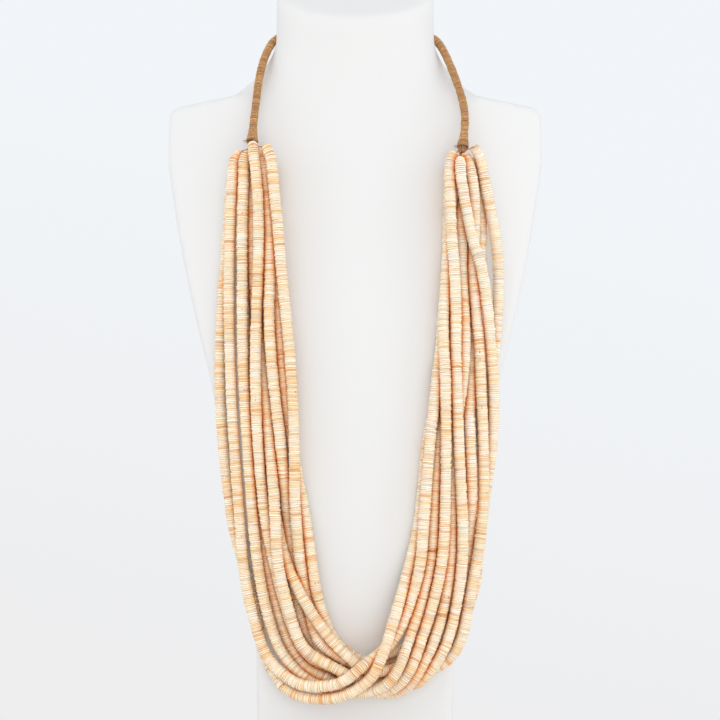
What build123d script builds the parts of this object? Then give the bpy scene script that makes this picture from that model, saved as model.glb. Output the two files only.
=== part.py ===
from build123d import *
from math import pi, radians, tan
import os

import numpy as np

os.makedirs("parts", exist_ok=True)

# The frame: +X to the wearer's left, -Y out of the chest, +Z up.
# The origin is the middle of the bust's flat base. All lengths are in millimetres.

# Neck bust
base_half_width = 50.0
foot_height = 55.0
hip_bow_height = 112.0
hip_bow_half_width = 58.5
waist_height = 200.0
waist_half_width = 74.7
side_bow_height = 250.0
side_bow_half_width = 87.0
armpit_height = 306.0
shoulder_half_width = 97.0
shoulder_corner_height = 336.0
shoulder_rise = 16.0
shoulder_corner_radius = 4.0
back_depth = 38.0
chest_depth = 62.0
chest_full_height = 150.0
chest_bow_radius = 650.0
chest_plan_radius = 170.0
neck_half_width = 41.2
neck_half_depth = 34.0
neck_front_height = 380.0
neck_back_height = 417.0
flare_start_height = 369.0
flare_height = 28.0
flare_reach = 24.5
flare_steps = ((0, 0), (0.25, 0.125), (0.5, 0.33), (0.75, 0.62), (1, 1))
flare_depth_share = 0.08
cut_margin = 2.0

# Wound neck band
wrap_radius = 2.1
wrap_end_radius = 3.3
wrap_flare_length = 9.0
cone_sink = 0.2

# Bead strands and their thread ends
bead_diameter = 5.4
strand_gap = 0.35
chest_clearance = 0.5
thread_radius = 0.5
hub_length = 1.2
hub_radius = wrap_end_radius - 0.3
seat_gap = 0.6
thread_seat = 1.1
arc_share = 0.45

# Each strand's route: (across, height, proud), where proud is how far the strand's middle
# stands in front of the chest. Each list runs from the band's left end down, round and up
# to its right end, as the strands hang in front of each other.
strand_routes = {
    "strand_01": [
        (-57.2, 309.5, 4.4), (-60.8, 304.5, 6), (-63, 295, 8.6), (-64.2, 275, 6.9), (-66, 250, 5.4), (-67.7, 225, 5.2),
        (-68.5, 195, 5), (-66.9, 165, 5), (-63.5, 135, 5.5), (-61.2, 120, 5), (-57, 105, 3.9),
        (-51, 85, 4.3), (-47.8, 65, 4.8), (-45, 55, 5.5), (-40, 46, 8), (-34, 39, 11.5),
        (-26, 36, 13.5), (-16.5, 35.5, 16), (-6, 37.5, 19.2), (1.5, 41.5, 20), (8, 47.5, 20),
        (12, 56.5, 19.2), (16.2, 65, 15.5), (22.8, 85, 10.2), (28.5, 105, 5.6), (31.5, 120, 4.2),
        (33.5, 135, 3.8), (36.2, 165, 3.2), (40.5, 180, 3.1), (44.8, 195, 3.1), (48.2, 210, 3.3),
        (49.5, 225, 3.5), (51.8, 250, 3.2), (52.4, 262.5, 3.3), (52.9, 275, 3.3), (53.8, 295, 3.1),
        (53.6, 307, 3.1),
    ],
    "strand_02": [
        (-58.7, 310.8, 10.2), (-61.2, 305.5, 12), (-62.2, 295, 14.2), (-63, 275, 12.5), (-63.6, 250, 10.5), (-63.5, 225, 9.3),
        (-62.4, 195, 9.6), (-60.8, 165, 9.6), (-58.5, 135, 9.5), (-57.4, 120, 9.5), (-56.5, 105, 9.6),
        (-53.5, 85, 10.2), (-48, 65, 12.5), (-43.5, 55, 13.5), (-37, 48.5, 14.2), (-28, 43, 15.5),
        (-17.5, 42, 18), (-6.5, 44, 20), (2, 50.5, 19), (11, 56.5, 13.3), (20.5, 65, 10.3),
        (28.2, 85, 9.4), (32.8, 105, 9.6), (33.9, 120, 9.5), (35.2, 135, 9.5), (37.5, 165, 9.2),
        (39.6, 180, 8.9), (41.2, 195, 8.2), (43.2, 210, 5.3), (44, 225, 3.5), (46.2, 250, 3.1),
        (46.8, 262.5, 3.2), (47.2, 275, 3.2), (48.4, 295, 3.1), (48.8, 307, 3.1),
    ],
    "strand_03": [
        (-56.2, 311, 15.4), (-56.2, 295, 12.8), (-56.8, 275, 12.3), (-56.8, 250, 10.5), (-56.8, 225, 9.3),
        (-56, 195, 9.6), (-54.1, 165, 9.6), (-52, 135, 9.5), (-50.7, 120, 9.5), (-49.2, 105, 9.5),
        (-46, 85, 9.5), (-40.5, 65, 9.5), (-35.5, 56, 10), (-29, 49, 10.5), (-21, 43.5, 11.5),
        (-11, 39.5, 13), (0, 38.5, 14.2), (9, 40.5, 14.6), (15.5, 45.5, 14.5), (21, 53, 12.5),
        (27, 65, 10.5), (33.5, 85, 8.4), (38.3, 105, 7.4), (39.5, 120, 7), (40, 135, 6.5),
        (41.8, 165, 5), (46, 180, 4.1), (50.2, 195, 3.2), (53.8, 210, 3.2), (55, 225, 3.3),
        (57.2, 250, 3.2), (57.9, 262.5, 3.3), (58.5, 275, 3.3), (59, 295, 3.1), (58.6, 307, 3.1),
    ],
    "strand_04": [
        (-51.8, 308.5, 3.3), (-55.8, 295, 3.3), (-54.5, 275, 3.4), (-56, 250, 3.4), (-55.8, 225, 3.6),
        (-53.5, 195, 3.6), (-50.5, 165, 3.5), (-47.8, 135, 3.8), (-46.2, 120, 3.8), (-45, 105, 3.9),
        (-40.5, 85, 4), (-34.5, 65, 4), (-29.5, 57.5, 5), (-23.5, 51, 6.5), (-15, 46.5, 8),
        (-5, 42.5, 8.7), (5, 40, 8.7), (15, 41.5, 8.7), (22, 47, 9), (28, 54.5, 9.3),
        (33.2, 65, 9.5), (39.8, 85, 10), (43.8, 105, 10.8), (44.5, 120, 10.2), (44.9, 135, 9.5),
        (45.3, 165, 9.6), (45.2, 180, 11), (45, 195, 12.4), (44.5, 210, 10.8), (44.5, 225, 9.3),
        (46.5, 250, 8.7), (47.2, 262.5, 8.9), (47.5, 275, 9.1), (50.6, 295, 7.8), (50.2, 307.5, 8.2),
    ],
    "strand_05": [
        (-51.7, 315.4, 17.8), (-51, 308, 17), (-49.2, 295, 14.6), (-47.9, 275, 13), (-48.2, 250, 11.2), (-49.5, 225, 9.5),
        (-49.3, 195, 10), (-48, 165, 9.8), (-46, 135, 9.7), (-43.8, 120, 8.8), (-40.8, 105, 7.8),
        (-36, 85, 7.4), (-29.5, 65, 7.6), (-24, 57, 7), (-16, 52, 3.5), (-6, 46.5, 3.2),
        (5, 43, 3.2), (15, 41, 3.2), (25.5, 45, 5), (34, 52, 7.2), (40.5, 65, 8.8),
        (45.8, 85, 8.5), (48.8, 105, 8.5), (48.8, 120, 7), (49.2, 135, 5.4), (50.5, 165, 3.8),
        (51.8, 180, 5), (53.5, 195, 7.8), (55.2, 210, 8.8), (55.5, 225, 8.9), (54.8, 250, 8.8),
        (54.2, 262.5, 9), (53.2, 275, 9.1), (55.9, 295, 7.8), (55.4, 307.5, 8.2),
    ],
    "strand_06": [
        (-52.2, 306.5, 9.2), (-52.8, 295, 7.9), (-51.8, 275, 8.6), (-51.2, 250, 6.3), (-49.5, 225, 3.7),
        (-45.8, 195, 5.7), (-42.8, 165, 7.2), (-40, 135, 11.5), (-39.3, 120, 12.5), (-38.5, 105, 13),
        (-34.5, 85, 13), (-28.5, 65, 13), (-23.5, 59, 13), (-17.5, 55, 13), (-8.5, 50.5, 12.5),
        (1.5, 46, 13.5), (10, 45, 9), (20, 45, 4), (30, 47, 3.5), (40, 54.5, 6.5),
        (47.2, 65, 9.4), (51.2, 85, 10), (53.3, 105, 11.5), (53.7, 120, 10.8), (53.2, 135, 9.8),
        (51.8, 165, 9.8), (51.3, 180, 11.3), (50.8, 195, 12.9), (50.4, 210, 11.6), (50.1, 225, 10),
        (49.3, 250, 13.5), (48.8, 262.5, 14.4), (48.2, 275, 14.8), (48.2, 295, 12.9), (48.9, 310.4, 13),
    ],
    "strand_07": [
        (-46.2, 310.5, 4.2), (-46.8, 295, 3.6), (-46.2, 275, 3.6), (-45.6, 250, 3.5), (-43.9, 225, 3.4),
        (-40.5, 195, 3.3), (-38.8, 165, 3.3), (-40.8, 135, 4.4), (-38.2, 120, 7), (-35, 105, 8.5),
        (-26, 85, 9.5), (-12.5, 65, 11), (-4, 56.5, 10.5), (3.5, 51.5, 13), (12.5, 49, 14),
        (22.5, 49, 8.8), (32.5, 50, 3.3), (42.5, 55, 3.2), (49.8, 65, 3.2), (59.5, 85, 3.3),
        (62.5, 105, 3.3), (63.8, 120, 3.3), (65.5, 135, 3.3), (69.5, 165, 6.4), (69.8, 180, 8.3),
        (69.8, 195, 10.2), (68.3, 210, 10.8), (66.8, 225, 11.5), (63.2, 250, 16.1), (59.7, 262.5, 15.5),
        (56.8, 275, 13.7), (53.2, 295, 16.5), (51.8, 307.8, 17.4),
    ],
    "strand_08": [
        (-48.8, 311, 11), (-45, 295, 10), (-43.5, 275, 8.6), (-42.7, 250, 9.6), (-43, 225, 9.3),
        (-40.9, 195, 10), (-37.5, 165, 9.6), (-35, 135, 6.8), (-33.9, 120, 3.4), (-32, 105, 3.4),
        (-30, 85, 3.4), (-23.5, 65, 3.4), (-17.5, 57.5, 3.3), (-10, 51.5, 8.7), (0, 46.5, 8.3),
        (10, 45.6, 4), (20, 47.6, 3.4), (31, 52.3, 3.4), (43.5, 65, 3.4), (54, 85, 3.2),
        (56.5, 105, 3.4), (57.8, 120, 4.2), (58.5, 135, 7.4), (57.5, 165, 8.8), (57.2, 180, 6.3),
        (58.5, 195, 4.5), (59.5, 210, 3.9), (60.6, 225, 3.4), (63.5, 250, 6.4), (63.8, 262.5, 4.5),
        (64, 275, 3.6), (63, 295, 7.9), (60.6, 308, 8.6),
    ],
    "strand_09": [
        (-44.9, 313.4, 15.6), (-42.3, 306.5, 15.6), (-41.2, 295, 14), (-39, 275, 12.5), (-37, 250, 10.6), (-34.2, 225, 9.4),
        (-31.5, 195, 10), (-30.2, 165, 9.8), (-30, 135, 9.7), (-29, 120, 9), (-27.8, 105, 8.2),
        (-24, 85, 4.2), (-19.8, 65, 8.5), (-14.5, 59, 8), (-7.5, 53, 6.5), (1.5, 48.5, 9.3),
        (11.5, 49.5, 9.4), (22.5, 49, 3.4), (35, 49, 3.3), (46, 56, 5.5), (53.7, 65, 8.2),
        (57.5, 85, 9.5), (61.2, 105, 9), (63, 120, 9), (64, 135, 9), (64.5, 165, 9.2),
        (63.8, 180, 9.4), (63.2, 195, 9.5), (62.7, 210, 9.6), (61.3, 225, 9.4), (59, 250, 12.5),
        (59.7, 262.5, 9.6), (60, 275, 9.1), (58.2, 295, 12.9), (56, 309.6, 13.2),
    ],
    "strand_10": [
        (-43.6, 310.5, 9), (-41.5, 295, 5.6), (-40.2, 275, 3.9), (-39.8, 250, 4.6), (-38.8, 225, 5.6),
        (-36, 195, 6.6), (-32, 165, 4.1), (-26.5, 135, 5), (-23.8, 120, 5.5), (-21.8, 105, 6),
        (-18.8, 85, 7), (-12, 65, 5.2), (-4, 56.5, 4.5), (4, 52, 3.3), (12.5, 51.3, 3.3),
        (21, 53.5, 3.3), (30, 57.5, 3.3), (37.5, 65, 3.4), (48.5, 85, 3.2), (51, 105, 3.2),
        (52.8, 120, 3.2), (54.2, 135, 3.2), (63.2, 165, 3.6), (66.2, 180, 3.9), (69.2, 195, 4.2),
        (70.5, 210, 5.6), (72, 225, 8.5), (72.8, 250, 9), (71.8, 262.5, 8.7), (69.8, 275, 8.5),
        (65.2, 295, 13.2), (64.4, 302, 14.6), (62.6, 308, 16.8),
        (59.4, 312.2, 18.8),
    ],
}

# The band's route round the nape: (across, depth, height), from its left end to its right.
band_route = [
    (-52.3, -43.0, 315.4),
    (-51.7, -39.0, 326.0),
    (-50.5, -33.0, 337.0),
    (-49.6, -25.0, 348.2),
    (-47.6, -13.0, 359.7),
    (-44.8, 1.0, 368.5),
    (-41.8, 12.8, 374.0),
    (-34.8, 23.8, 377.5),
    (-22.6, 32.2, 380.0),
    (-8.0, 37.3, 381.0),
    (8.0, 37.3, 381.0),
    (22.6, 32.2, 380.0),
    (34.8, 23.8, 377.5),
    (41.8, 12.8, 374.0),
    (45.0, 1.0, 368.5),
    (48.3, -13.0, 359.7),
    (52.0, -25.0, 348.2),
    (55.2, -33.0, 337.0),
    (56.4, -39.0, 326.0),
    (54.5, -44.5, 312.6),
]


def chest_front(across, height):
    """Depth of the chest's surface, which bows both in plan and from top to bottom."""
    reach = chest_bow_radius - chest_plan_radius + np.sqrt(chest_plan_radius**2 - across**2)
    drop = height - chest_full_height
    return chest_bow_radius - chest_depth - np.sqrt(reach**2 - drop**2)


def in_space(route):
    """Route points as (x, y, z), set forward of the chest by their proud value."""
    depth = chest_front(route[:, 0], route[:, 1]) - route[:, 2]
    return np.column_stack([route[:, 0], depth, route[:, 1]])


def blend_weights(count, steps=4):
    """How much each route point counts at places along the smooth line that it controls."""
    weights = np.zeros((steps * (count - 1) + 1, count))
    for row in range(len(weights)):
        near = min(int(row / steps + 0.5), count - 1)
        off = row / steps - near
        shares = ((-1, 0.5 * (0.5 - off)**2), (0, 0.75 - off**2), (1, 0.5 * (0.5 + off)**2))
        for step, share in shares:
            weights[row, min(max(near + step, 0), count - 1)] += share
    return weights


def settle(routes, rounds=150, side_share=0.45, slack=0.04):
    """Push strands that lie in one another apart until they lie side by side."""
    pitch = bead_diameter + strand_gap
    lowest = bead_diameter / 2 + chest_clearance
    points = [np.array(route, float) for route in routes]
    weights = [blend_weights(len(route)) for route in points]
    owner = np.concatenate([np.full(len(w), i) for i, w in enumerate(weights)])
    for _ in range(rounds):
        lines = np.vstack([w @ p for w, p in zip(weights, points)])
        places = in_space(lines)
        apart = places[:, None, :] - places[None, :, :]
        distance = np.sqrt((apart**2).sum(axis=2))
        first, second = np.where((distance < pitch) & (owner[:, None] != owner[None, :]))
        overlap = pitch - distance[first, second]
        if not len(overlap) or overlap.max() < slack:
            break
        way = apart[first, second] * (side_share, 1.0, side_share)
        way /= np.linalg.norm(way, axis=1)[:, None] + 1e-9
        push = np.zeros_like(places)
        hits = np.zeros(len(places))
        np.add.at(push, first, way * overlap[:, None] / 2)
        np.add.at(hits, first, 1)
        push /= np.maximum(hits, 1)[:, None]
        moves = np.column_stack([push[:, 0], push[:, 2], -push[:, 1]])
        for index, weight in enumerate(weights):
            own = moves[owner == index]
            points[index] += weight.T @ own / (weight.sum(axis=0)[:, None] * side_share)
            points[index][:, 2] = np.maximum(points[index][:, 2], lowest)
    return points


def bend_radii(points):
    """The largest arc that each corner's two runs allow."""
    radii = []
    for before, corner, after in zip(points, points[1:], points[2:]):
        arriving, leaving = corner - before, after - corner
        half_turn = radians(arriving.get_angle(leaving) / 2)
        radii.append(arc_share * min(arriving.length, leaving.length) / tan(half_turn))
    return radii


def tube_through(points, radius, label, end_radius=0):
    """A round tube along straight runs joined by arcs, with cones at its ends if they are thicker."""
    corners = [Vector(*point) for point in points]
    radii = bend_radii(corners)
    with BuildPart() as tube:
        with BuildLine() as route:
            FilletPolyline(*corners, radius=radii)
        path = route.wires()[0]
        ends = [Plane(origin=path @ 0, z_dir=path % 0), Plane(origin=path @ 1, z_dir=-(path % 1))]
        with BuildSketch(ends[0]):
            Circle(radius)
        sweep(path=path)
        share = tube.part.volume / (pi * radius**2 * path.length)
        if end_radius:
            for end in ends:
                with BuildSketch(end):
                    Circle(end_radius)
                with BuildSketch(end.offset(wrap_flare_length)):
                    Circle(radius - cone_sink)
                loft()
    print(f"{label}: length {path.length:.1f}, tightest bend {min(radii):.1f}, volume share {share:.4f}")
    tube.part.label = label
    export_step(tube.part, f"parts/{label}.step")
    return ends


# Neck bust: chest and shoulders cut to the front outline, with a flared, slanted neck
neck_slant = (neck_back_height - neck_front_height) / (2 * neck_half_depth)
shoulder_top = shoulder_corner_height + shoulder_rise

with BuildPart() as neck_bust:
    with BuildSketch(Plane.XY.offset(chest_full_height)):
        with BuildLine():
            side_depth = float(chest_front(shoulder_half_width + cut_margin, chest_full_height))
            chest_arc = ThreePointArc(
                (-shoulder_half_width - cut_margin, side_depth),
                (0, -chest_depth),
                (shoulder_half_width + cut_margin, side_depth),
            )
            Polyline(
                chest_arc @ 1,
                (shoulder_half_width + cut_margin, back_depth),
                (-shoulder_half_width - cut_margin, back_depth),
                chest_arc @ 0,
            )
        make_face()
    bow_axis = Axis((0, chest_bow_radius - chest_depth, chest_full_height), (1, 0, 0))
    revolve(axis=bow_axis, revolution_arc=360)
    with BuildSketch(Plane.XZ.offset(-back_depth)) as front_outline:
        with BuildLine():
            foot = Line((base_half_width, 0), (base_half_width, foot_height))
            hip = ThreePointArc(
                foot @ 1,
                (hip_bow_half_width, hip_bow_height),
                (waist_half_width, waist_height),
            )
            side = ThreePointArc(
                hip @ 1,
                (side_bow_half_width, side_bow_height),
                (shoulder_half_width, armpit_height),
            )
            FilletPolyline(
                side @ 1,
                (shoulder_half_width, shoulder_corner_height),
                (0, shoulder_top),
                radius=shoulder_corner_radius,
            )
            Polyline((0, shoulder_top), (0, 0), (base_half_width, 0))
        make_face()
        mirror(about=Plane.YZ)
    extrude(amount=back_depth + chest_depth + cut_margin, mode=Mode.INTERSECT)
    for drop_share, out_share in flare_steps:
        out = flare_reach * out_share
        with BuildSketch(Plane.XY.offset(flare_start_height - flare_height * drop_share)):
            Ellipse(neck_half_width + out, neck_half_depth + flare_depth_share * out)
    loft()
    with BuildSketch(Plane.XY.offset(shoulder_corner_height)):
        Ellipse(neck_half_width, neck_half_depth)
    extrude(amount=neck_back_height + cut_margin - shoulder_corner_height)
    slant_middle = (neck_front_height + neck_back_height) / 2
    split(
        bisect_by=Plane(origin=(0, 0, slant_middle), x_dir=(1, 0, 0), z_dir=(0, -neck_slant, 1)),
        keep=Keep.BOTTOM,
    )
neck_bust.part.label = "neck_bust"
export_step(neck_bust.part, "parts/neck_bust.step")

# Wound neck band: one tube round the nape with a thicker end on each side
wrap_ends = tube_through(band_route, wrap_radius, "neck_wrap", wrap_end_radius)

# Ten strands, each a tube that the beads fill
names = list(strand_routes)
settled = settle([strand_routes[name] for name in names])
strand_points = {name: in_space(route) for name, route in zip(names, settled)}
strand_ends = [tube_through(points, bead_diameter / 2, name) for name, points in strand_points.items()]

# Bare thread between each end of the band and the first beads of its strands
for index, side in enumerate(("left", "right")):
    end_plane = wrap_ends[index]
    with BuildPart() as thread_ends:
        with BuildSketch(end_plane.offset(-seat_gap - hub_length)):
            Circle(hub_radius)
        extrude(amount=hub_length)
        hub = end_plane.offset(-seat_gap - hub_length / 2).origin
        for tops in strand_ends:
            run = tops[index].offset(-thread_seat).origin - hub
            with BuildSketch(Plane(origin=hub, z_dir=run)):
                Circle(thread_radius)
            extrude(amount=run.length)
    thread_ends.part.label = f"thread_ends_{side}"
    export_step(thread_ends.part, f"parts/thread_ends_{side}.step")
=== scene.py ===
import math

import bpy
import numpy as np
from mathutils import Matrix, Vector
from mathutils.kdtree import KDTree


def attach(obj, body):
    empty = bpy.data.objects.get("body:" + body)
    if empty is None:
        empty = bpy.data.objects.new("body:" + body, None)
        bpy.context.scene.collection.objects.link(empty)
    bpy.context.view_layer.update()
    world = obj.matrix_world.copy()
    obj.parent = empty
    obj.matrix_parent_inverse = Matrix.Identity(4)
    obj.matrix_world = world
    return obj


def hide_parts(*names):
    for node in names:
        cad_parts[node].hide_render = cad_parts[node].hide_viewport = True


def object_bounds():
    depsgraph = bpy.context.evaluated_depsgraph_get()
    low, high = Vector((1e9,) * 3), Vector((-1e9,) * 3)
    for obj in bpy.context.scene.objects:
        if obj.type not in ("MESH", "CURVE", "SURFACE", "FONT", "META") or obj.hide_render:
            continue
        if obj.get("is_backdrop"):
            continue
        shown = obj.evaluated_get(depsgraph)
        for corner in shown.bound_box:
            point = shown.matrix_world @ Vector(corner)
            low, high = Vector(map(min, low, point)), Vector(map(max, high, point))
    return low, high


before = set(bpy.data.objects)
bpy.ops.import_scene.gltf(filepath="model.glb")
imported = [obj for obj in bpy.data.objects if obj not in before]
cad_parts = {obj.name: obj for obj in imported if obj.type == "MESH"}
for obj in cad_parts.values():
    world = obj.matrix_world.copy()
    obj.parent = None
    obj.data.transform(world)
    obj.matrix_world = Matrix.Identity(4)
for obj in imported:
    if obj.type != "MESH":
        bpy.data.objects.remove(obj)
frame_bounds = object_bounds()

# The frame: +X to the right as seen from the front, -Y out of the chest, +Z up.
# The origin is the middle of the bust's flat base. All lengths are in metres.

# Chest, which the strands hang in front of
chest_depth = 0.062
chest_full_height = 0.150
chest_bow_radius = 0.650
chest_plan_radius = 0.170

# The bust's softened mesh, smoothed most in a box round the front of the neck's root
bust_mesh_size = 0.0022
soften_rounds = 14
neck_root_middle = np.array((0.0025, -0.05, 0.338))
neck_root_reach = np.array((0.062, 0.05, 0.034))
neck_root_rounds = 150

# Wound neck band
wrap_radius = 0.0021
wrap_end_radius = 0.0033
wrap_flare_length = 0.009
wrap_spacing = 0.0008
core_sides = 16
wound_thread_radius = 0.00040
wound_thread_pitch = 0.00096
winding_steps = 16
winding_slip = 0.00016
winding_lift = 0.00008
pale_turn_share = 0.12

# Bead strands, each with a core that shows only between its beads, coloured with the painted seam shade
bead_diameter = 0.0054
bead_thickness = 0.00088
bead_sides = 12
bead_lean = math.radians(1.4)
bead_wander = 0.00009
core_share = 0.93
core_spacing = 0.002
bead_core_sides = 8
strand_spacing = 0.001
strand_gap = 0.00035
chest_clearance = 0.0005

# Bead sizes as shares of the usual one: their mean, their spread and their most
mean_bead = 1.05
string_spread = 0.008
slow_spread = 0.02
bead_spread = 0.016
widest_bead = 1.085
thickness_spread = 0.2
thickness_limits = (0.6, 1.6)
end_bead_shares = np.array((0.84, 0.94, 0.99))

# How far a bead's edge is out of round, twice and three times round it
oval_share = 0.012
three_sided_share = 0.010

# A bead's four rings: shares of its radius, and of its thickness from the middle
ring_radii = (0.955, 1.0, 1.0, 0.955)
ring_heights = (-0.5, -0.3, 0.3, 0.5)
smallest_gap = 0.01
gap_spread = 0.015

# How the strands' tops arch over towards the band's ends
tuck_drop = 0.0036
tuck_length = 0.0034
tuck_steepness = 0.82
tuck_turn = 0.75

# Bare threads, the short tuft that they leave, and loose fibres
thread_sides = 6
thread_spacing = 0.0004
thread_radius = 0.000275
thread_ring = 0.0016
thread_sunk = 0.001
thread_sag = 0.0018
tuft_count = 26
tuft_turn = 2.4
tuft_radius = 0.0024
tuft_reach = 0.0030
tuft_thread_radius = 0.0003
fibre_count = 9
fibre_radius = 0.00011

# Shell colours, from the palest to the darkest, as linear light
shell_shares = (0.0, 0.12, 0.4, 0.66, 0.85, 0.96, 1.0)
shell_colours = np.array([
    (1.0, 0.95, 0.86),
    (1.0, 0.89, 0.72),
    (1.0, 0.82, 0.58),
    (0.99, 0.72, 0.43),
    (0.92, 0.55, 0.27),
    (0.70, 0.36, 0.19),
    (0.40, 0.19, 0.10),
])
grey_shell = np.array((0.66, 0.53, 0.45))
grey_bead_share = 0.04
# Seam colour and its share: painted shade on each bead's two edge rings, where the gaps between beads fall
# dark
seam_shade_colour = np.array((0.64, 0.28, 0.075))
seam_shade_share = 0.6
cracked_share = 0.008
crack_darkness = 0.25

# How a bead's tone is drawn: its drift from bead to bead, its own spread, the curve that
# turns both into a share from pale to dark, and the spread of its brightness and red
tone_drift = 0.5
tone_spread = 0.86
tone_contrast = 1.15
tone_paleness = 0.55
brightness_spread = 0.03
rosy_spread = np.array((0.0, -0.01, 0.02))

# The bunch at the right is paler: by how much, and where that starts and is full
right_paleness = 0.65
right_full_across = 0.03
right_start_height = 0.03
right_full_height = 0.18

# Painted shade on beads in the crevices between strands, warmed like bounce light: where it starts and how
# far it reaches, in bead radii
crevice_shade_colour = np.array((0.86, 0.37, 0.07))
crevice_shade_start = 2.0
crevice_shade_reach = 0.9
crevice_shade_curve = 1.6

# Thread colours, dark and light, as linear light
band_core_colours = ((0.10, 0.045, 0.014), (0.22, 0.11, 0.04))
band_colours = ((0.29, 0.128, 0.036), (0.65, 0.365, 0.145))
loose_thread_colours = ((0.24, 0.11, 0.035), (0.62, 0.37, 0.17))

# Stand under the bust: radius and height of each ring of its edge
stand_rings = ((0.081, -0.008), (0.084, -0.006), (0.084, -0.002), (0.082, 0.0))
stand_sides = 96

# Lamps: name, place, size, power in watts and colour. All of them face the chest.
lamp_target = (0, 0, 0.25)
lamps = (
    ("high_front", (-0.25, -1.0, 1.1), 0.9, 1.8, (1.0, 0.985, 0.965)),
    ("near_camera", (0.1, -1.5, 0.35), 0.6, 2.0, (1.0, 0.985, 0.96)),
    ("low_front", (0.3, -1.1, -0.1), 0.8, 1.8, (1.0, 0.965, 0.93)),
    ("left_side", (-1.1, -0.15, 0.45), 0.8, 1.9, (1.0, 0.99, 0.98)),
    ("right_side", (1.1, -0.15, 0.45), 0.8, 2.1, (1.0, 0.99, 0.97)),
)

# Level camera, straight in front of the chest
camera_place = (0.0025, -1.565, 0.205)
camera_lens = 150

# Seeds of the random draws
first_bead_seed = 11
band_seed = 7
thread_seed = 5

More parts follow.
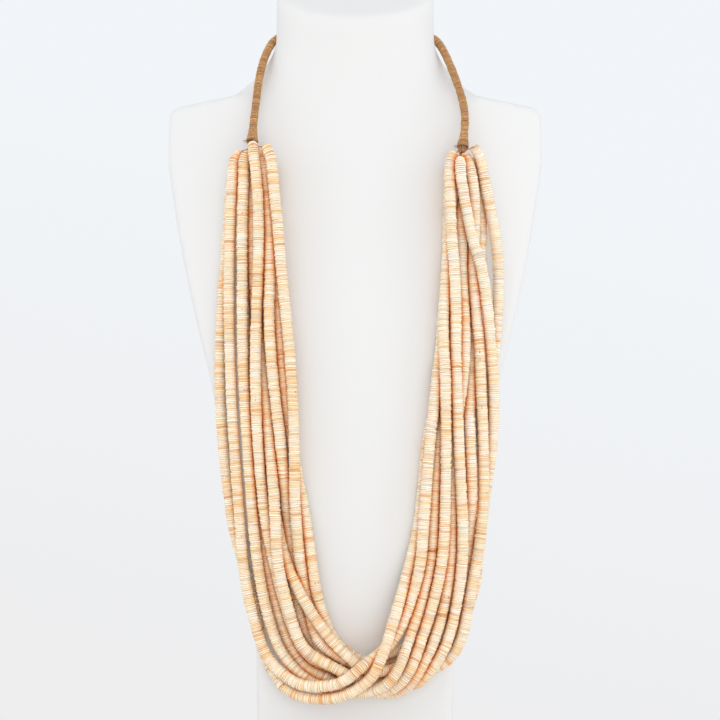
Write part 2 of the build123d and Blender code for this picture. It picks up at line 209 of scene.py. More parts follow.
# Each strand's route: (across, height, proud), where proud is how far the strand's middle
# stands in front of the chest. Each list runs from the band's left end down, round and up
# to its right end, as the strands hang in front of each other.
strand_routes = {
    "strand_01": [
        (-0.0572, 0.3095, 0.0044), (-0.0608, 0.3045, 0.006), (-0.063, 0.295, 0.0086),
        (-0.0642, 0.275, 0.0069), (-0.066, 0.25, 0.0054), (-0.0677, 0.225, 0.0052), (-0.0685, 0.195, 0.005),
        (-0.0669, 0.165, 0.005), (-0.0635, 0.135, 0.0055), (-0.0612, 0.12, 0.005), (-0.057, 0.105, 0.0039),
        (-0.051, 0.085, 0.0043), (-0.0478, 0.065, 0.0048), (-0.045, 0.055, 0.0055), (-0.04, 0.046, 0.008),
        (-0.034, 0.039, 0.0115), (-0.026, 0.036, 0.0135), (-0.0165, 0.0355, 0.016),
        (-0.006, 0.0375, 0.0192), (0.0015, 0.0415, 0.02), (0.008, 0.0475, 0.02), (0.012, 0.0565, 0.0192),
        (0.0162, 0.065, 0.0155), (0.0228, 0.085, 0.0102), (0.0285, 0.105, 0.0056), (0.0315, 0.12, 0.0042),
        (0.0335, 0.135, 0.0038), (0.0362, 0.165, 0.0032), (0.0405, 0.18, 0.0031), (0.0448, 0.195, 0.0031),
        (0.0482, 0.21, 0.0033), (0.0495, 0.225, 0.0035), (0.0518, 0.25, 0.0032), (0.0524, 0.2625, 0.0033),
        (0.0529, 0.275, 0.0033), (0.0538, 0.295, 0.0031), (0.0536, 0.307, 0.0031),
    ],
    "strand_02": [
        (-0.0587, 0.3108, 0.0102), (-0.0612, 0.3055, 0.012), (-0.0622, 0.295, 0.0142),
        (-0.063, 0.275, 0.0125), (-0.0636, 0.25, 0.0105), (-0.0635, 0.225, 0.0093),
        (-0.0624, 0.195, 0.0096), (-0.0608, 0.165, 0.0096), (-0.0585, 0.135, 0.0095),
        (-0.0574, 0.12, 0.0095), (-0.0565, 0.105, 0.0096), (-0.0535, 0.085, 0.0102),
        (-0.048, 0.065, 0.0125), (-0.0435, 0.055, 0.0135), (-0.037, 0.0485, 0.0142),
        (-0.028, 0.043, 0.0155), (-0.0175, 0.042, 0.018), (-0.0065, 0.044, 0.02), (0.002, 0.0505, 0.019),
        (0.011, 0.0565, 0.0133), (0.0205, 0.065, 0.0103), (0.0282, 0.085, 0.0094), (0.0328, 0.105, 0.0096),
        (0.0339, 0.12, 0.0095), (0.0352, 0.135, 0.0095), (0.0375, 0.165, 0.0092), (0.0396, 0.18, 0.0089),
        (0.0412, 0.195, 0.0082), (0.0432, 0.21, 0.0053), (0.044, 0.225, 0.0035), (0.0462, 0.25, 0.0031),
        (0.0468, 0.2625, 0.0032), (0.0472, 0.275, 0.0032), (0.0484, 0.295, 0.0031), (0.0488, 0.307, 0.0031),
    ],
    "strand_03": [
        (-0.0562, 0.311, 0.0154), (-0.0562, 0.295, 0.0128), (-0.0568, 0.275, 0.0123),
        (-0.0568, 0.25, 0.0105), (-0.0568, 0.225, 0.0093), (-0.056, 0.195, 0.0096),
        (-0.0541, 0.165, 0.0096), (-0.052, 0.135, 0.0095), (-0.0507, 0.12, 0.0095),
        (-0.0492, 0.105, 0.0095), (-0.046, 0.085, 0.0095), (-0.0405, 0.065, 0.0095), (-0.0355, 0.056, 0.01),
        (-0.029, 0.049, 0.0105), (-0.021, 0.0435, 0.0115), (-0.011, 0.0395, 0.013), (0.0, 0.0385, 0.0142),
        (0.009, 0.0405, 0.0146), (0.0155, 0.0455, 0.0145), (0.021, 0.053, 0.0125), (0.027, 0.065, 0.0105),
        (0.0335, 0.085, 0.0084), (0.0383, 0.105, 0.0074), (0.0395, 0.12, 0.007), (0.04, 0.135, 0.0065),
        (0.0418, 0.165, 0.005), (0.046, 0.18, 0.0041), (0.0502, 0.195, 0.0032), (0.0538, 0.21, 0.0032),
        (0.055, 0.225, 0.0033), (0.0572, 0.25, 0.0032), (0.0579, 0.2625, 0.0033), (0.0585, 0.275, 0.0033),
        (0.059, 0.295, 0.0031), (0.0586, 0.307, 0.0031),
    ],
    "strand_04": [
        (-0.0518, 0.3085, 0.0033), (-0.0558, 0.295, 0.0033), (-0.0545, 0.275, 0.0034),
        (-0.056, 0.25, 0.0034), (-0.0558, 0.225, 0.0036), (-0.0535, 0.195, 0.0036),
        (-0.0505, 0.165, 0.0035), (-0.0478, 0.135, 0.0038), (-0.0462, 0.12, 0.0038),
        (-0.045, 0.105, 0.0039), (-0.0405, 0.085, 0.004), (-0.0345, 0.065, 0.004), (-0.0295, 0.0575, 0.005),
        (-0.0235, 0.051, 0.0065), (-0.015, 0.0465, 0.008), (-0.005, 0.0425, 0.0087), (0.005, 0.04, 0.0087),
        (0.015, 0.0415, 0.0087), (0.022, 0.047, 0.009), (0.028, 0.0545, 0.0093), (0.0332, 0.065, 0.0095),
        (0.0398, 0.085, 0.01), (0.0438, 0.105, 0.0108), (0.0445, 0.12, 0.0102), (0.0449, 0.135, 0.0095),
        (0.0453, 0.165, 0.0096), (0.0452, 0.18, 0.011), (0.045, 0.195, 0.0124), (0.0445, 0.21, 0.0108),
        (0.0445, 0.225, 0.0093), (0.0465, 0.25, 0.0087), (0.0472, 0.2625, 0.0089), (0.0475, 0.275, 0.0091),
        (0.0506, 0.295, 0.0078), (0.0502, 0.3075, 0.0082),
    ],
    "strand_05": [
        (-0.0517, 0.3154, 0.0178), (-0.051, 0.308, 0.017), (-0.0492, 0.295, 0.0146),
        (-0.0479, 0.275, 0.013), (-0.0482, 0.25, 0.0112), (-0.0495, 0.225, 0.0095), (-0.0493, 0.195, 0.01),
        (-0.048, 0.165, 0.0098), (-0.046, 0.135, 0.0097), (-0.0438, 0.12, 0.0088), (-0.0408, 0.105, 0.0078),
        (-0.036, 0.085, 0.0074), (-0.0295, 0.065, 0.0076), (-0.024, 0.057, 0.007), (-0.016, 0.052, 0.0035),
        (-0.006, 0.0465, 0.0032), (0.005, 0.043, 0.0032), (0.015, 0.041, 0.0032), (0.0255, 0.045, 0.005),
        (0.034, 0.052, 0.0072), (0.0405, 0.065, 0.0088), (0.0458, 0.085, 0.0085), (0.0488, 0.105, 0.0085),
        (0.0488, 0.12, 0.007), (0.0492, 0.135, 0.0054), (0.0505, 0.165, 0.0038), (0.0518, 0.18, 0.005),
        (0.0535, 0.195, 0.0078), (0.0552, 0.21, 0.0088), (0.0555, 0.225, 0.0089), (0.0548, 0.25, 0.0088),
        (0.0542, 0.2625, 0.009), (0.0532, 0.275, 0.0091), (0.0559, 0.295, 0.0078), (0.0554, 0.3075, 0.0082),
    ],
    "strand_06": [
        (-0.0522, 0.3065, 0.0092), (-0.0528, 0.295, 0.0079), (-0.0518, 0.275, 0.0086),
        (-0.0512, 0.25, 0.0063), (-0.0495, 0.225, 0.0037), (-0.0458, 0.195, 0.0057),
        (-0.0428, 0.165, 0.0072), (-0.04, 0.135, 0.0115), (-0.0393, 0.12, 0.0125), (-0.0385, 0.105, 0.013),
        (-0.0345, 0.085, 0.013), (-0.0285, 0.065, 0.013), (-0.0235, 0.059, 0.013), (-0.0175, 0.055, 0.013),
        (-0.0085, 0.0505, 0.0125), (0.0015, 0.046, 0.0135), (0.01, 0.045, 0.009), (0.02, 0.045, 0.004),
        (0.03, 0.047, 0.0035), (0.04, 0.0545, 0.0065), (0.0472, 0.065, 0.0094), (0.0512, 0.085, 0.01),
        (0.0533, 0.105, 0.0115), (0.0537, 0.12, 0.0108), (0.0532, 0.135, 0.0098), (0.0518, 0.165, 0.0098),
        (0.0513, 0.18, 0.0113), (0.0508, 0.195, 0.0129), (0.0504, 0.21, 0.0116), (0.0501, 0.225, 0.01),
        (0.0493, 0.25, 0.0135), (0.0488, 0.2625, 0.0144), (0.0482, 0.275, 0.0148), (0.0482, 0.295, 0.0129),
        (0.0489, 0.3104, 0.013),
    ],
    "strand_07": [
        (-0.0462, 0.3105, 0.0042), (-0.0468, 0.295, 0.0036), (-0.0462, 0.275, 0.0036),
        (-0.0456, 0.25, 0.0035), (-0.0439, 0.225, 0.0034), (-0.0405, 0.195, 0.0033),
        (-0.0388, 0.165, 0.0033), (-0.0408, 0.135, 0.0044), (-0.0382, 0.12, 0.007), (-0.035, 0.105, 0.0085),
        (-0.026, 0.085, 0.0095), (-0.0125, 0.065, 0.011), (-0.004, 0.0565, 0.0105), (0.0035, 0.0515, 0.013),
        (0.0125, 0.049, 0.014), (0.0225, 0.049, 0.0088), (0.0325, 0.05, 0.0033), (0.0425, 0.055, 0.0032),
        (0.0498, 0.065, 0.0032), (0.0595, 0.085, 0.0033), (0.0625, 0.105, 0.0033), (0.0638, 0.12, 0.0033),
        (0.0655, 0.135, 0.0033), (0.0695, 0.165, 0.0064), (0.0698, 0.18, 0.0083), (0.0698, 0.195, 0.0102),
        (0.0683, 0.21, 0.0108), (0.0668, 0.225, 0.0115), (0.0632, 0.25, 0.0161), (0.0597, 0.2625, 0.0155),
        (0.0568, 0.275, 0.0137), (0.0532, 0.295, 0.0165), (0.0518, 0.3078, 0.0174),
    ],
    "strand_08": [
        (-0.0488, 0.311, 0.011), (-0.045, 0.295, 0.01), (-0.0435, 0.275, 0.0086), (-0.0427, 0.25, 0.0096),
        (-0.043, 0.225, 0.0093), (-0.0409, 0.195, 0.01), (-0.0375, 0.165, 0.0096), (-0.035, 0.135, 0.0068),
        (-0.0339, 0.12, 0.0034), (-0.032, 0.105, 0.0034), (-0.03, 0.085, 0.0034), (-0.0235, 0.065, 0.0034),
        (-0.0175, 0.0575, 0.0033), (-0.01, 0.0515, 0.0087), (0.0, 0.0465, 0.0083), (0.01, 0.0456, 0.004),
        (0.02, 0.0476, 0.0034), (0.031, 0.0523, 0.0034), (0.0435, 0.065, 0.0034), (0.054, 0.085, 0.0032),
        (0.0565, 0.105, 0.0034), (0.0578, 0.12, 0.0042), (0.0585, 0.135, 0.0074), (0.0575, 0.165, 0.0088),
        (0.0572, 0.18, 0.0063), (0.0585, 0.195, 0.0045), (0.0595, 0.21, 0.0039), (0.0606, 0.225, 0.0034),
        (0.0635, 0.25, 0.0064), (0.0638, 0.2625, 0.0045), (0.064, 0.275, 0.0036), (0.063, 0.295, 0.0079),
        (0.0606, 0.308, 0.0086),
    ],
    "strand_09": [
        (-0.0449, 0.3134, 0.0156), (-0.0423, 0.3065, 0.0156), (-0.0412, 0.295, 0.014),
        (-0.039, 0.275, 0.0125), (-0.037, 0.25, 0.0106), (-0.0342, 0.225, 0.0094), (-0.0315, 0.195, 0.01),
        (-0.0302, 0.165, 0.0098), (-0.03, 0.135, 0.0097), (-0.029, 0.12, 0.009), (-0.0278, 0.105, 0.0082),
        (-0.024, 0.085, 0.0042), (-0.0198, 0.065, 0.0085), (-0.0145, 0.059, 0.008),
        (-0.0075, 0.053, 0.0065), (0.0015, 0.0485, 0.0093), (0.0115, 0.0495, 0.0094),
        (0.0225, 0.049, 0.0034), (0.035, 0.049, 0.0033), (0.046, 0.056, 0.0055), (0.0537, 0.065, 0.0082),
        (0.0575, 0.085, 0.0095), (0.0612, 0.105, 0.009), (0.063, 0.12, 0.009), (0.064, 0.135, 0.009),
        (0.0645, 0.165, 0.0092), (0.0638, 0.18, 0.0094), (0.0632, 0.195, 0.0095), (0.0627, 0.21, 0.0096),
        (0.0613, 0.225, 0.0094), (0.059, 0.25, 0.0125), (0.0597, 0.2625, 0.0096), (0.06, 0.275, 0.0091),
        (0.0582, 0.295, 0.0129), (0.056, 0.3096, 0.0132),
    ],
    "strand_10": [
        (-0.0436, 0.3105, 0.009), (-0.0415, 0.295, 0.0056), (-0.0402, 0.275, 0.0039),
        (-0.0398, 0.25, 0.0046), (-0.0388, 0.225, 0.0056), (-0.036, 0.195, 0.0066), (-0.032, 0.165, 0.0041),
        (-0.0265, 0.135, 0.005), (-0.0238, 0.12, 0.0055), (-0.0218, 0.105, 0.006), (-0.0188, 0.085, 0.007),
        (-0.012, 0.065, 0.0052), (-0.004, 0.0565, 0.0045), (0.004, 0.052, 0.0033), (0.0125, 0.0513, 0.0033),
        (0.021, 0.0535, 0.0033), (0.03, 0.0575, 0.0033), (0.0375, 0.065, 0.0034), (0.0485, 0.085, 0.0032),
        (0.051, 0.105, 0.0032), (0.0528, 0.12, 0.0032), (0.0542, 0.135, 0.0032), (0.0632, 0.165, 0.0036),
        (0.0662, 0.18, 0.0039), (0.0692, 0.195, 0.0042), (0.0705, 0.21, 0.0056), (0.072, 0.225, 0.0085),
        (0.0728, 0.25, 0.009), (0.0718, 0.2625, 0.0087), (0.0698, 0.275, 0.0085), (0.0652, 0.295, 0.0132),
        (0.0644, 0.302, 0.0146), (0.0626, 0.308, 0.0168), (0.0594, 0.3122, 0.0188),
    ],
}

# The band's route round the nape: (across, depth, height), from its left end to its right.
band_route = [
    (-0.0523, -0.043, 0.3154),
    (-0.0517, -0.039, 0.326),
    (-0.0505, -0.033, 0.337),
    (-0.0496, -0.025, 0.3482),
    (-0.0476, -0.013, 0.3597),
    (-0.0448, 0.001, 0.3685),
    (-0.0418, 0.0128, 0.374),
    (-0.0348, 0.0238, 0.3775),
    (-0.0226, 0.0322, 0.38),
    (-0.008, 0.0373, 0.381),
    (0.008, 0.0373, 0.381),
    (0.0226, 0.0322, 0.38),
    (0.0348, 0.0238, 0.3775),
    (0.0418, 0.0128, 0.374),
    (0.045, 0.001, 0.3685),
    (0.0483, -0.013, 0.3597),
    (0.052, -0.025, 0.3482),
    (0.0552, -0.033, 0.337),
    (0.0564, -0.039, 0.326),
    (0.0545, -0.0445, 0.3126),
]


def chest_front(across, height):
    """Depth of the chest's surface, which bows both in plan and from top to bottom."""
    reach = chest_bow_radius - chest_plan_radius + np.sqrt(chest_plan_radius**2 - across**2)
    drop = height - chest_full_height
    return chest_bow_radius - chest_depth - np.sqrt(reach**2 - drop**2)


def in_space(route):
    """Route points as (x, y, z), set forward of the chest by their proud value."""
    depth = chest_front(route[:, 0], route[:, 1]) - route[:, 2]
    return np.column_stack([route[:, 0], depth, route[:, 1]])


def unit(vector):
    """The vector at a length of one."""
    return vector / np.linalg.norm(vector)


def blend_weights(count, steps=4):
    """How much each route point counts at places along the smooth line that it controls."""
    weights = np.zeros((steps * (count - 1) + 1, count))
    for row in range(len(weights)):
        near = min(int(row / steps + 0.5), count - 1)
        off = row / steps - near
        shares = ((-1, 0.5 * (0.5 - off)**2), (0, 0.75 - off**2), (1, 0.5 * (0.5 + off)**2))
        for step, share in shares:
            weights[row, min(max(near + step, 0), count - 1)] += share
    return weights


def settle(routes, rounds=150, side_share=0.45, slack=0.00004):
    """Push strands that lie in one another apart until they lie side by side."""
    pitch = bead_diameter + strand_gap
    lowest = bead_diameter / 2 + chest_clearance
    points = [np.array(route, float) for route in routes]
    weights = [blend_weights(len(route)) for route in points]
    owner = np.concatenate([np.full(len(w), i) for i, w in enumerate(weights)])
    for _ in range(rounds):
        lines = np.vstack([w @ p for w, p in zip(weights, points)])
        places = in_space(lines)
        apart = places[:, None, :] - places[None, :, :]
        distance = np.sqrt((apart**2).sum(axis=2))
        first, second = np.where((distance < pitch) & (owner[:, None] != owner[None, :]))
        overlap = pitch - distance[first, second]
        if not len(overlap) or overlap.max() < slack:
            break
        way = apart[first, second] * (side_share, 1.0, side_share)
        way /= np.linalg.norm(way, axis=1)[:, None] + 1e-12
        push = np.zeros_like(places)
        hits = np.zeros(len(places))
        np.add.at(push, first, way * overlap[:, None] / 2)
        np.add.at(hits, first, 1)
        push /= np.maximum(hits, 1)[:, None]
        moves = np.column_stack([push[:, 0], push[:, 2], -push[:, 1]])
        for index, weight in enumerate(weights):
            own = moves[owner == index]
            points[index] += weight.T @ own / (weight.sum(axis=0)[:, None] * side_share)
            points[index][:, 2] = np.maximum(points[index][:, 2], lowest)
    return points


def tucked(points, hub):
    """A strand's points with its first end arched over towards the band's end."""
    onward = unit(points[0] - points[1])
    inward = unit((hub - points[0]) * (1, 1, 0))
    bend = points[0] - tuck_drop * onward
    turn = tuck_turn * max(onward[2] - tuck_steepness, 0) / (1 - tuck_steepness)
    tip = bend + tuck_length * (turn * inward + (1 - turn / 2) * onward)
    return np.vstack([tip, bend, points[1:]])


def smooth_line(points, spacing):
    """Places at an even spacing along the NURBS spline that the points control."""
    curve = bpy.data.curves.new("guide", "CURVE")
    curve.dimensions = "3D"
    spline = curve.splines.new("NURBS")
    spline.points.add(len(points) - 1)
    for control, place in zip(spline.points, points):
        control.co = (*place, 1.0)
    spline.order_u = 3
    spline.use_endpoint_u = True
    spline.resolution_u = 12
    holder = bpy.data.objects.new("guide", curve)
    mesh = bpy.data.meshes.new_from_object(holder)
    places = np.array([vertex.co[:] for vertex in mesh.vertices])
    bpy.data.objects.remove(holder)
    bpy.data.meshes.remove(mesh)
    return evenly(places, spacing)


def travelled_along(places):
    """How far along a line each of its places is."""
    runs = np.linalg.norm(np.diff(places, axis=0), axis=1)
    return np.concatenate([[0], np.cumsum(runs)])


def read_at(wanted, known, values):
    """Rows of values read off between the known ones."""
    return np.column_stack([np.interp(wanted, known, column) for column in values.T])


def evenly(places, spacing):
    """The same line with its places a fixed distance apart."""
    travelled = travelled_along(places)
    count = max(int(round(travelled[-1] / spacing)), 2)
    wanted = np.linspace(0, travelled[-1], count + 1)
    return read_at(wanted, travelled, places)


def line_frames(places):
    """Tangent, side and front vectors along a line, turned as little as possible."""
    tangents = np.gradient(places, axis=0)
    tangents /= np.linalg.norm(tangents, axis=1)[:, None]
    sides = np.zeros_like(tangents)
    side = np.cross(tangents[0], (0.0, 1.0, 0.0))
    for row, tangent in enumerate(tangents):
        side = unit(side - tangent * (side @ tangent))
        sides[row] = side
    return tangents, sides, np.cross(tangents, sides)


def turns_round(sides):
    """The angles of a ring's corners."""
    return np.linspace(0, 2 * math.pi, sides, endpoint=False)


def ring_faces(rings, sides):
    """Faces that join rings of corners, one after the other, and close both ends."""
    faces = []
    for low in range(0, (rings - 1) * sides, sides):
        for corner in range(sides):
            after = (corner + 1) % sides
            faces.append((low + corner, low + after, low + sides + after, low + sides + corner))
    faces.append(tuple(range(sides))[::-1])
    faces.append(tuple(range((rings - 1) * sides, rings * sides)))
    return faces


def tube_arrays(places, radii, sides):
    """Vertices and faces of a closed tube along a line."""
    _, side, front = line_frames(places)
    turn = turns_round(sides)[None, :, None]
    ring = np.cos(turn) * side[:, None, :] + np.sin(turn) * front[:, None, :]
    radii = np.broadcast_to(radii, len(places))
    vertices = (places[:, None, :] + ring * radii[:, None, None]).reshape(-1, 3)
    return vertices, ring_faces(len(places), sides)


def mesh_piece(name, vertices, faces, material, colours=None, flat_faces=None):
    """A mesh object made from arrays, riding on the root body."""
    mesh = bpy.data.meshes.new(name)
    mesh.from_pydata(vertices.tolist(), [], faces)
    smooth = np.ones(len(faces), bool)
    if flat_faces is not None:
        smooth[flat_faces] = False
    mesh.polygons.foreach_set("use_smooth", smooth)
    if colours is not None:
        tone = mesh.attributes.new("tone", "FLOAT_COLOR", "POINT")
        rgba = np.column_stack([colours, np.ones(len(colours))])
        tone.data.foreach_set("color", rgba.ravel())
    mesh.materials.append(material)
    piece = bpy.data.objects.new(name, mesh)
    bpy.context.scene.collection.objects.link(piece)
    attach(piece, "root")
    return piece


def drifting(random, count, keep):
    """Random values of unit spread, in which each is like the one before it."""
    steps = random.normal(size=count)
    values = np.zeros(count)
    values[0] = steps[0]
    for row in range(1, count):
        values[row] = keep * values[row - 1] + math.sqrt(1 - keep**2) * steps[row]
    return values


def bead_rings(random, line):
    """The corners of thin discs along a line, bead by bead and ring by ring, and their middles."""
    travelled = travelled_along(line)
    length = travelled[-1]
    count = int(length / bead_thickness)
    widths = np.clip(1 + thickness_spread * random.normal(size=count), *thickness_limits)
    widths *= length / widths.sum()
    middles = np.cumsum(widths) - widths / 2

    axis, across, front = (read_at(middles, travelled, values) for values in line_frames(line))
    axis = axis + across * (bead_lean * drifting(random, count, 0.7))[:, None]
    axis = axis + front * (bead_lean * drifting(random, count, 0.7))[:, None]
    axis /= np.linalg.norm(axis, axis=1)[:, None]
    across = across - axis * (across * axis).sum(axis=1)[:, None]
    across /= np.linalg.norm(across, axis=1)[:, None]
    front = np.cross(axis, across)
    wander = bead_wander * random.normal(size=(count, 2))
    centres = read_at(middles, travelled, line) + across * wander[:, :1] + front * wander[:, 1:]

    spread = slow_spread * drifting(random, count, 0.95) + bead_spread * random.normal(size=count)
    radius = mean_bead + string_spread * random.normal() + spread
    radius = bead_diameter / 2 * np.minimum(radius, widest_bead)
    radius[:3] *= end_bead_shares
    radius[-3:] *= end_bead_shares[::-1]
    turn = turns_round(bead_sides)
    phase = random.random((count, 1)) * 2 * math.pi
    oval = oval_share * np.cos(2 * turn + phase)
    outline = 1 + oval + three_sided_share * np.cos(3 * turn + 2.7 * phase)
    spin = (turn + phase)[..., None]
    spoke = np.cos(spin) * across[:, None, :] + np.sin(spin) * front[:, None, :]

    gap = smallest_gap + gap_spread * random.random(count)
    rings = []
    for share, height in zip(ring_radii, ring_heights):
        reach = (radius * share)[:, None] * outline
        lift = (height * widths * (1 - gap))[:, None] * axis
        rings.append(centres[:, None, :] + lift[:, None, :] + reach[..., None] * spoke)
    return np.stack(rings, axis=1).reshape(-1, 3), centres


def shell_tones(random, centres):
    """One colour for each bead of a strand, paler on the bunch at the right."""
    count = len(centres)
    mixed = tone_drift * drifting(random, count, 0.75) + tone_spread * random.normal(size=count)
    lift = (centres[:, 2] - right_start_height) / (right_full_height - right_start_height)
    right = np.clip(centres[:, 0] / right_full_across, 0, 1) * np.clip(lift, 0, 1)
    mixed -= right_paleness * right
    share = 1 / (1 + np.exp(-tone_contrast * mixed + tone_paleness))
    tones = read_at(share, shell_shares, shell_colours)
    grey = random.random(count) < grey_bead_share
    tones[grey] = 0.5 * tones[grey] + 0.5 * grey_shell
    rosy = random.normal(size=count)[:, None] * rosy_spread
    return tones * (1 + brightness_spread * random.normal(size=count)[:, None] + rosy)


def corner_tones(random, vertices, centres, others):
    """A colour for each corner of the beads, with painted shade in the seams, darker cracks, and painted
    shade warmed like bounce light in the crevices beside other strands.
    """
    tones = np.repeat(shell_tones(random, centres)[:, None, :], len(ring_radii), axis=1)
    # Painted shade on each bead's edge rings, for the dark gaps between beads
    tones[:, (0, -1)] = (1 - seam_shade_share) * tones[:, (0, -1)] + seam_shade_share * seam_shade_colour
    cracked = random.random(len(centres)) < cracked_share
    tones[cracked, 0] *= crack_darkness
    tones = np.repeat(tones[:, :, None, :], bead_sides, axis=2).reshape(-1, 3)
    # Painted shade, warm like bounce light, on the corners that lie close beside another strand
    near = crevice_shade_shares(vertices, others)[:, None]
    return tones * (1 - near) + tones * crevice_shade_colour * near


def crevice_shade_shares(vertices, others):
    """How much painted shade each vertex gets from lying deep in the crevice beside another strand, from 0
    to 1.
    """
    tree = KDTree(len(others))
    for index, place in enumerate(others):
        tree.insert(place, index)
    tree.balance()
    distances = np.array([tree.find(vertex)[2] for vertex in vertices])
    nearest = bead_diameter / 2
    share = (crevice_shade_start * nearest - distances) / (crevice_shade_reach * nearest)
    return np.clip(share, 0, 1)**crevice_shade_curve


def bead_string(name, line, others, material, seed):
    """A string of thin discs along a line, made as one mesh that takes the tube's place."""
    random = np.random.default_rng(seed)
    vertices, centres = bead_rings(random, line)
    tones = corner_tones(random, vertices, centres, others)
    bead_faces = ring_faces(len(ring_radii), bead_sides)
    faces, flat = [], []
    for start in range(0, len(vertices), len(ring_radii) * bead_sides):
        faces += [tuple(start + corner for corner in face) for face in bead_faces]
        flat += [len(faces) - 2, len(faces) - 1]
    return mesh_piece(name, vertices, faces, material, tones, flat)


def new_material(name):
    """A material, its shader, a helper that adds nodes, and its links."""
    material = bpy.data.materials.new(name)
    material.use_nodes = True
    nodes, links = material.node_tree.nodes, material.node_tree.links
    shader = nodes["Principled BSDF"]

    def add(kind, **values):
        node = nodes.new(kind)
        for key, value in values.items():
            if hasattr(node, key):
                setattr(node, key, value)
            else:
                node.inputs[key].default_value = value
        return node

    return material, shader, add, links


def noise(add, links, **values):
    """A noise pattern fixed to the object."""
    place = add("ShaderNodeTexCoord")
    pattern = add("ShaderNodeTexNoise", **values)
    links.new(place.outputs["Object"], pattern.inputs["Vector"])
    return pattern.outputs["Fac"]


def set_ramp(ramp, first, second):
    """Sets a ramp's two ends, each a position and a colour."""
    for element, (position, colour) in zip(ramp.color_ramp.elements, (first, second)):
        element.position = position
        element.color = (*colour, 1)


def multiplied(add, links, first, second, factor):
    """The first colour, darkened by the second."""
    mix = add("ShaderNodeMix", data_type="RGBA", blend_type="MULTIPLY")
    mix.inputs["Factor"].default_value = factor
    links.new(first, mix.inputs["A"])
    links.new(second, mix.inputs["B"])
    return mix.outputs["Result"]


def bump(add, links, shader, height, distance, strength):
    """Feeds a height into the shader's normal."""
    node = add("ShaderNodeBump", Strength=strength, Distance=distance)
    links.new(height, node.inputs["Height"])
    links.new(node.outputs["Normal"], shader.inputs["Normal"])


def shell_material():
    """Polished shell: each bead's own tone, with fine growth lines."""
    material, shader, add, links = new_material("shell")
    tone = add("ShaderNodeAttribute", attribute_name="tone")
    grain = noise(add, links, Scale=900.0, Detail=3.0, Roughness=0.6)
    ramp = add("ShaderNodeValToRGB")
    set_ramp(ramp, (0.3, (0.92, 0.83, 0.74)), (0.62, (1, 1, 1)))
    links.new(grain, ramp.inputs["Fac"])
    colour = multiplied(add, links, tone.outputs["Color"], ramp.outputs["Color"], 0.6)
    links.new(colour, shader.inputs["Base Color"])
    shader.inputs["Roughness"].default_value = 0.38
    shader.inputs["Subsurface Weight"].default_value = 0.2
    shader.inputs["Subsurface Radius"].default_value = (1.0, 0.45, 0.2)
    shader.inputs["Subsurface Scale"].default_value = 0.0012
    shader.inputs["Coat Weight"].default_value = 0.12
    shader.inputs["Coat Roughness"].default_value = 0.2
    bump(add, links, shader, grain, 0.0001, 0.25)
    return material


def bust_material():
    """Smooth white moulding with a barely uneven matte skin."""
    material, shader, add, links = new_material("bust")
    skin = noise(add, links, Scale=260.0, Detail=2.0)
    shader.inputs["Base Color"].default_value = (0.755, 0.75, 0.74, 1)
    shader.inputs["Roughness"].default_value = 0.62
    bump(add, links, shader, skin, 0.0002, 0.08)
    return material


def thread_material(name, dark, light, scale, toned=False):
    """Dull and streaked between two colours, and toned turn by turn if asked."""
    material, shader, add, links = new_material(name)
    streak = noise(add, links, Scale=scale, Detail=4.0, Roughness=0.7)
    ramp = add("ShaderNodeValToRGB")
    set_ramp(ramp, (0.32, dark), (0.68, light))
    links.new(streak, ramp.inputs["Fac"])
    colour = ramp.outputs["Color"]
    if toned:
        tone = add("ShaderNodeAttribute", attribute_name="tone")
        colour = multiplied(add, links, colour, tone.outputs["Color"], 1.0)
    links.new(colour, shader.inputs["Base Color"])
    shader.inputs["Roughness"].default_value = 0.8
    shader.inputs["Sheen Weight"].default_value = 0.2
    bump(add, links, shader, streak, 0.0002, 0.5)
    return material


def shell_strands(lines):
    """Each strand's beads, and the core that shows between them in the painted seam shade."""
    shell = shell_material()
    # The core fills the gaps between beads with the painted seam shade
    seam_shade_fill = thread_material("seam_shade_core", 0.78 * seam_shade_colour, 1.22 * seam_shade_colour, 1500.0)
    for seed, (name, line) in enumerate(lines.items(), first_bead_seed):
        others = np.vstack([lines[other] for other in lines if other != name])
        beads = bead_string(name.replace("strand", "beads"), line, others, shell, seed)
        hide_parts(name)
        places = evenly(line, core_spacing)[1:-1]
        vertices, faces = tube_arrays(places, bead_diameter / 2 * core_share, bead_core_sides)
        core = mesh_piece(name.replace("strand", "bead_seam_shade"), vertices, faces, seam_shade_fill)


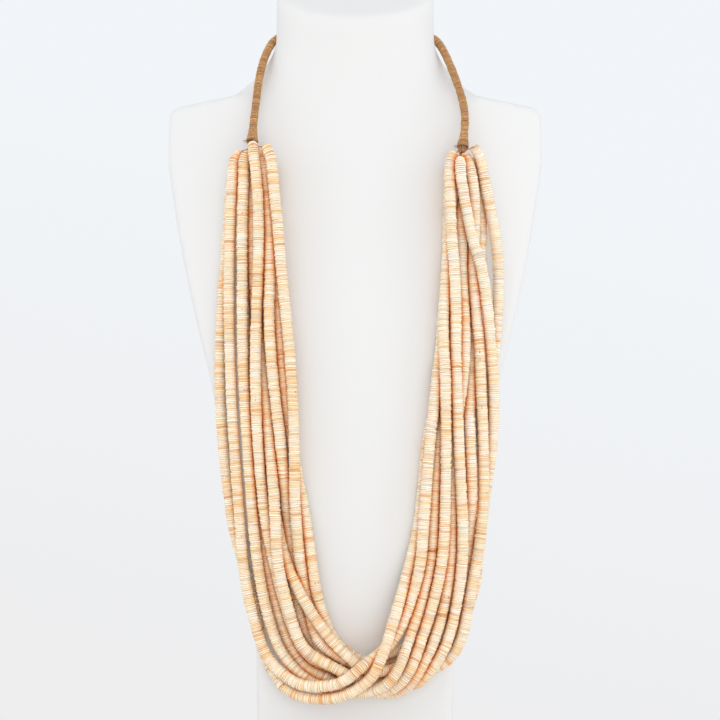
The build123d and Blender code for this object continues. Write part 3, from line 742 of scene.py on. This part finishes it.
def wound_band(line):
    """The nape band: a core with one thread wound round it from end to end."""
    travelled = travelled_along(line)
    length = travelled[-1]
    from_end = np.minimum(travelled, length - travelled)
    widen = np.clip(1 - from_end / wrap_flare_length, 0, 1)**1.3
    body = wrap_radius + (wrap_end_radius - wrap_radius) * widen - wound_thread_radius
    core_material = thread_material("band_core", *band_core_colours, 1500.0)
    winding_material = thread_material("band_winding", *band_colours, 1500.0, toned=True)
    core = mesh_piece("band_core", *tube_arrays(line, body, core_sides), core_material)

    random = np.random.default_rng(band_seed)
    turns = length / wound_thread_pitch
    whole_turns = int(turns) + 2
    share = np.linspace(0.001, 0.999, int(turns * winding_steps))
    slip = np.interp(share * turns, np.arange(whole_turns), random.normal(size=whole_turns))
    at = np.clip(share * length + winding_slip * slip, 0, length)
    turn = (share * turns * 2 * math.pi)[:, None]
    _, side, front = line_frames(line)
    reach = np.interp(at, travelled, body) + winding_lift * slip
    spoke = np.cos(turn) * read_at(at, travelled, side) + np.sin(turn) * read_at(at, travelled, front)
    wound = read_at(at, travelled, line) + spoke * reach[:, None]
    vertices, faces = tube_arrays(wound, wound_thread_radius, thread_sides)
    turn_tones = 1.06 + 0.1 * random.normal(size=whole_turns)
    turn_tones[random.random(whole_turns) < pale_turn_share] *= 1.35
    paler = np.clip(turn_tones[np.round(share * turns).astype(int)], 0.7, 1.5)
    tones = np.repeat(paler, thread_sides)[:, None] * (1.0, 1.0, 1.0)
    winding = mesh_piece("band_winding", vertices, faces, winding_material, tones)
    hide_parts("neck_wrap")


def level_way(turn):
    """The level direction at an angle."""
    return np.array((math.cos(turn), math.sin(turn), 0))


def joining_threads(random, hub, way, strands):
    """One thread from the band's end to each strand's first bead."""
    for index, (top, inward) in enumerate(strands):
        turn = 2 * math.pi * index / len(strands)
        start = hub + thread_ring * level_way(turn) - way * thread_sunk
        above = top - inward * 0.0006 + 0.0002 * random.normal(size=3)
        behind = (start + above) / 2 + thread_sag * (way + (0, 1, 0))
        yield thread_radius, [start, start + way * 0.002, behind, above, top + inward * 0.001]


def tuft_threads(random, hub, way):
    """The short tuft of threads at the band's end, drawn together at its tip."""
    for index in range(tuft_count):
        out = tuft_radius * level_way(tuft_turn * index) * math.sqrt((index + 0.5) / tuft_count)
        tip = hub + 0.6 * out + way * (tuft_reach - 0.001 * random.random())
        middle = hub + 0.95 * out + way * 0.5 * tuft_reach + 0.0002 * random.normal(size=3)
        yield tuft_thread_radius, [hub + out - way * thread_sunk, middle, tip]


def loose_fibres(random, hub, way):
    """Fine fibres that stand off the band's end."""
    for _ in range(fibre_count):
        out = level_way(2 * math.pi * random.random())
        start = hub + out * wrap_end_radius * 0.85 - way * thread_sunk
        tip = start + out * 0.0016 * random.random() + way * 0.0012 + 0.0008 * random.normal(size=3)
        yield fibre_radius, [start, (start + tip) / 2 + 0.0004 * random.normal(size=3), tip]


def bare_threads(side, hub, way, strands, material):
    """The threads that leave one end of the band and enter the first beads."""
    random = np.random.default_rng(thread_seed)
    routes = list(joining_threads(random, hub, way, strands))
    routes += tuft_threads(random, hub, way)
    routes += loose_fibres(random, hub, way)
    vertices, faces = [], []
    for radius, route in routes:
        own, own_faces = tube_arrays(smooth_line(route, thread_spacing), radius, thread_sides)
        faces += [tuple(len(vertices) + corner for corner in face) for face in own_faces]
        vertices += own.tolist()
    piece = mesh_piece(f"bare_threads_{side}", np.array(vertices), faces, material)
    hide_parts(f"thread_ends_{side}")


def thread_ends(band_line, lines):
    """Bare threads at both ends of the band, one to each strand."""
    material = thread_material("thread", *loose_thread_colours, 2500.0)
    for side, end, next_row in (("left", 0, 1), ("right", -1, -2)):
        way = unit(band_line[end] - band_line[next_row])
        strands = [(line[end], (line[next_row] - line[end]) / strand_spacing) for line in lines.values()]
        bare_threads(side, band_line[end], way, strands, material)


def evaluated_mesh(piece):
    """The piece's mesh with its modifiers worked in; they are then removed."""
    bpy.context.view_layer.update()
    graph = bpy.context.evaluated_depsgraph_get()
    mesh = bpy.data.meshes.new_from_object(piece.evaluated_get(graph))
    piece.modifiers.clear()
    return mesh


def blend_neck_root(piece):
    """Smooths the front of the neck's root, where the moulding has no line."""
    group = piece.vertex_groups.new(name="neck_root")
    for vertex in piece.data.vertices:
        off = np.abs(np.array(vertex.co) - neck_root_middle) / neck_root_reach
        share = float(np.clip(2 - 2 * off.max(), 0, 1))
        if share > 0:
            group.add([vertex.index], share, "REPLACE")
    blend = piece.modifiers.new("blend", "SMOOTH")
    blend.vertex_group = "neck_root"
    blend.factor = 0.9
    blend.iterations = neck_root_rounds


def soft_bust(material):
    """The bust with its edges and joins softened, as a moulding has them."""
    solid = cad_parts["neck_bust"]
    piece = bpy.data.objects.new("moulded_bust", solid.data.copy())
    bpy.context.scene.collection.objects.link(piece)
    remesh = piece.modifiers.new("even", "REMESH")
    remesh.mode = "VOXEL"
    remesh.voxel_size = bust_mesh_size
    soften = piece.modifiers.new("soften", "SMOOTH")
    soften.factor = 0.5
    soften.iterations = soften_rounds
    piece.data = evaluated_mesh(piece)
    blend_neck_root(piece)
    smoothed = evaluated_mesh(piece)
    piece.vertex_groups.clear()
    piece.data = smoothed
    smoothed.polygons.foreach_set("use_smooth", np.ones(len(smoothed.polygons), bool))
    smoothed.materials.clear()
    smoothed.materials.append(material)
    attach(piece, "root")
    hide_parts("neck_bust")


def stand(material):
    """A low round stand under the bust, just out of the photo's view."""
    turn = turns_round(stand_sides)
    rings = []
    for reach, height in stand_rings:
        corners = [reach * np.cos(turn), reach * np.sin(turn), np.full(stand_sides, height)]
        rings.append(np.column_stack(corners))
    mesh = bpy.data.meshes.new("stand")
    mesh.from_pydata(np.vstack(rings).tolist(), [], ring_faces(len(rings), stand_sides))
    mesh.materials.append(material)
    plate = bpy.data.objects.new("stand", mesh)
    bpy.context.scene.collection.objects.link(plate)
    plate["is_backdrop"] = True


def area_light(name, place, size, power, colour):
    """A square soft light that looks at the chest."""
    light = bpy.data.lights.new(name, "AREA")
    light.size = size
    light.energy = power
    light.color = colour
    lamp = bpy.data.objects.new(name, light)
    lamp.location = place
    lamp.rotation_euler = (Vector(lamp_target) - Vector(place)).to_track_quat("-Z", "Y").to_euler()
    bpy.context.scene.collection.objects.link(lamp)


def room_light():
    """An even white room, a little bluer above and to the right."""
    world = bpy.data.worlds.new("room")
    world.use_nodes = True
    nodes, links = world.node_tree.nodes, world.node_tree.links
    way = nodes.new("ShaderNodeTexCoord")
    slope = nodes.new("ShaderNodeVectorMath")
    slope.operation = "DOT_PRODUCT"
    slope.inputs[1].default_value = (0.9, 0.0, 4.0)
    links.new(way.outputs["Generated"], slope.inputs[0])
    lift = nodes.new("ShaderNodeMath")
    lift.operation = "ADD"
    lift.inputs[1].default_value = 0.45
    links.new(slope.outputs["Value"], lift.inputs[0])
    ramp = nodes.new("ShaderNodeValToRGB")
    set_ramp(ramp, (0.0, (0.85, 0.85, 0.86)), (0.75, (0.885, 0.915, 0.945)))
    links.new(lift.outputs["Value"], ramp.inputs["Fac"])
    links.new(ramp.outputs["Color"], nodes["Background"].inputs["Color"])
    bpy.context.scene.world = world


def level_camera():
    """The camera, looking straight back at the chest."""
    camera = bpy.data.cameras.new("camera")
    camera.lens = camera_lens
    camera.sensor_width = 36
    holder = bpy.data.objects.new("camera", camera)
    holder.location = camera_place
    holder.rotation_euler = (math.pi / 2, 0, 0)
    bpy.context.scene.collection.objects.link(holder)
    bpy.context.scene.camera = holder


def surroundings():
    """Plain colour handling, room light, soft lamps and the camera."""
    settings = bpy.context.scene.view_settings
    settings.view_transform = "Standard"
    settings.look = "None"
    room_light()
    for lamp in lamps:
        area_light(*lamp)
    level_camera()


# The band's and the strands' middle lines, and what is laid along them
band_line = smooth_line(band_route, wrap_spacing)
strand_lines = {}
for name, route in zip(strand_routes, settle(strand_routes.values())):
    points = tucked(in_space(route), band_line[0])
    points = tucked(points[::-1], band_line[-1])[::-1]
    strand_lines[name] = smooth_line(points, strand_spacing)
shell_strands(strand_lines)
wound_band(band_line)
thread_ends(band_line, strand_lines)

# The bust and what stands round it
moulding = bust_material()
soft_bust(moulding)
stand(moulding)
surroundings()

lowest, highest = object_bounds()
corners = [list(corner) for corner in (*frame_bounds, lowest, highest)]
